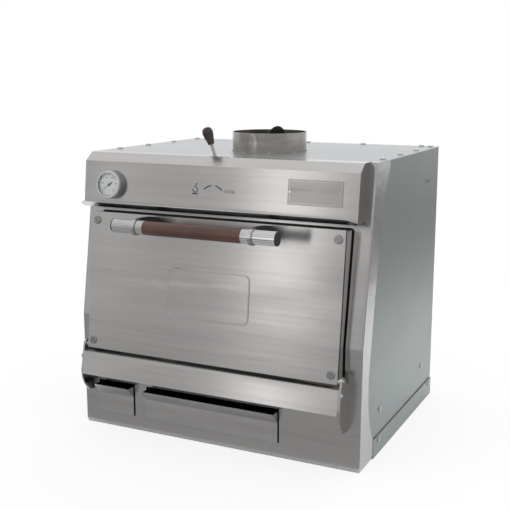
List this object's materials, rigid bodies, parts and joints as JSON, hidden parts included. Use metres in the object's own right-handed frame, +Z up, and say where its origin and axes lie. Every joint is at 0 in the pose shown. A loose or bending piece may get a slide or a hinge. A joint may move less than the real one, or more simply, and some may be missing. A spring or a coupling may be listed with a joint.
{
  "type": "charcoal oven",
  "caption": "Insulated steel charcoal oven with a drop-down door, drawers below, a thermometer and a damper in its flue.",
  "frame": {"origin": "centre of the rectangle that the body stands on, at the floor", "axes": "+Z up along the flue, +X to the right seen from the front, the door faces -Y"},
  "size_m": [0.7272, 0.6759, 0.7349],
  "materials": {
    "brushed_stainless": "brushed stainless steel sheet",
    "panel_steel": "satin grey-green sheet steel",
    "roof_steel": "smooth satin sheet steel",
    "flue_steel": "rolled steel tube with upright streaks",
    "oven_steel": "heat-darkened sheet steel",
    "cast_iron": "raw cast iron",
    "grill_wire": "round steel bar",
    "ceramic_wool": "matt white fibre slab",
    "seal_rope": "woven glass fibre rope",
    "black_steel": "black coated steel",
    "bright_steel": "bright steel",
    "plate_aluminium": "fine brushed plate",
    "dial_face": "matt pale dial",
    "pointer_red": "black enamel",
    "clear_glass": "clear",
    "handle_wood": "varnished red-brown wood",
    "black_plastic": "matt black",
    "knob_plastic": "dark brown"
  },
  "bodies": {
    "body": {"front_shell": "brushed_stainless", "side_panel_left": "panel_steel", "side_panel_right": "panel_steel", "rear_panel": "roof_steel", "roof_panel": "roof_steel", "base_pan": "roof_steel", "base_strips": "panel_steel", "liner_left": "oven_steel", "liner_right": "oven_steel", "liner_back": "oven_steel", "liner_header": "oven_steel", "liner_top": "oven_steel", "hearth_plate": "oven_steel", "throat_frame": "oven_steel", "wool_sides": "ceramic_wool", "wool_back": "ceramic_wool", "wool_top": "ceramic_wool", "charcoal_grate": "cast_iron", "grill_rails": "oven_steel", "cooking_grill": "grill_wire", "hood_cover": "brushed_stainless", "thermometer_case": "bright_steel", "thermometer_bezel": "bright_steel", "thermometer_dial": "dial_face", "thermometer_glass": "clear_glass", "thermometer_probe": "bright_steel", "name_plate": "plate_aluminium", "name_plate_rivets": "bright_steel", "flue_spigot": "flue_steel", "flue_bushes": "bright_steel", "shaft_bush": "bright_steel", "hinge_brackets": "brushed_stainless", "drip_tray": "brushed_stainless", "tray_screws": "bright_steel", "roof_bolts": "bright_steel", "side_screws": "bright_steel", "drawer_runners": "oven_steel"},
    "door": {"door_skin": "brushed_stainless", "door_spacer": "black_steel", "door_pan": "brushed_stainless", "door_wool": "ceramic_wool", "door_inner_panel": "oven_steel", "door_seal": "seal_rope", "door_screws": "bright_steel", "handle_arms": "black_steel", "handle_grip": "handle_wood", "handle_ferrules": "bright_steel", "handle_core": "bright_steel", "handle_caps": "black_plastic", "hinge_pins": "bright_steel"},
    "damper": {"damper_shaft": "bright_steel", "damper_disc": "black_steel", "lever_hub": "black_steel", "lever_rod": "bright_steel", "lever_knob": "knob_plastic"},
    "pointer": {"thermometer_pointer": "pointer_red"},
    "ash_drawer": {"ash_drawer_box": "oven_steel", "ash_drawer_front": "brushed_stainless"},
    "air_drawer": {"air_drawer_box": "oven_steel", "air_drawer_front": "brushed_stainless"}
  },
  "joints": [
    {"name": "door_hinge", "type": "hinge", "parent": "body", "child": "door", "pos_m": [0, -0.31803, 0.21463], "axis": [1, 0, 0], "range_deg": [0, 90]},
    {"name": "damper_turn", "type": "hinge", "parent": "body", "child": "damper", "pos_m": [0.015, -0.012, 0.645], "axis": [0, 1, 0], "range_deg": [-10.5, 65]},
    {"name": "pointer_turn", "type": "hinge", "parent": "body", "child": "pointer", "pos_m": [-0.267, -0.28014, 0.5972], "axis": [0, 0.9932, -0.1167], "range_deg": [0, 250]},
    {"name": "ash_drawer_slide", "type": "slide", "parent": "body", "child": "ash_drawer", "axis": [0, -1, 0], "range_m": [0, 0.38]},
    {"name": "air_drawer_slide", "type": "slide", "parent": "body", "child": "air_drawer", "axis": [0, -1, 0], "range_m": [0, 0.08]}
  ]
}
